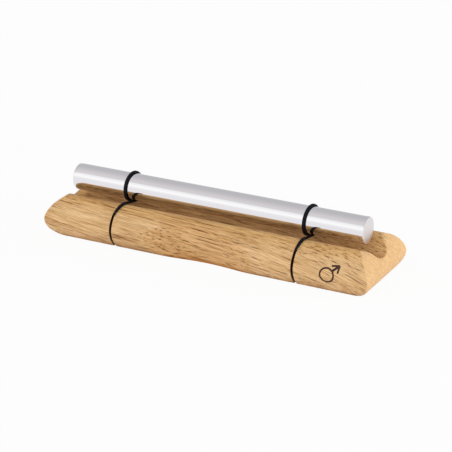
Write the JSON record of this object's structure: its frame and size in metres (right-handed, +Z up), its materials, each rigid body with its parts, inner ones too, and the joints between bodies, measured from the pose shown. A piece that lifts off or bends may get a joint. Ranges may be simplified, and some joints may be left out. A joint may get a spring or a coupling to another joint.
{
  "type": "chime bar",
  "caption": "Hand-held chime bar: a solid metal rod hung in elastic cords over a trough in a round-nosed wooden base with a finger recess on each long side.",
  "frame": {"origin": "centre of the base's underside, on the surface that it stands on", "axes": "+X along the rod, to the end at the right of the picture; +Y to the back; +Z up"},
  "size_m": [0.1676, 0.0446, 0.0322],
  "materials": {
    "oiled_wood": "sanded and oiled, open brown pores along the grain",
    "polished_aluminium": "mirror polished round the rod, finely turned on its two ends",
    "black_elastic": "braided black sheath over an elastic core"
  },
  "bodies": {
    "base": {"wooden_base": "oiled_wood", "left_band": "black_elastic", "right_band": "black_elastic"},
    "rod_loops": {"left_loop": "black_elastic", "right_loop": "black_elastic"},
    "rod": {"sound_rod": "polished_aluminium"}
  },
  "joints": [
    {"name": "rod_bounce", "type": "slide", "parent": "base", "child": "rod_loops", "axis": [0, 0, 1], "range_m": [-0.0025, 0.004], "stiffness_N_per_m": 500, "springref_m": 0.00101, "deforming": ["left_band", "right_band"]},
    {"name": "rod_slide", "type": "slide", "parent": "rod_loops", "child": "rod", "axis": [1, 0, 0], "range_m": [-0.025, 0.025]}
  ]
}
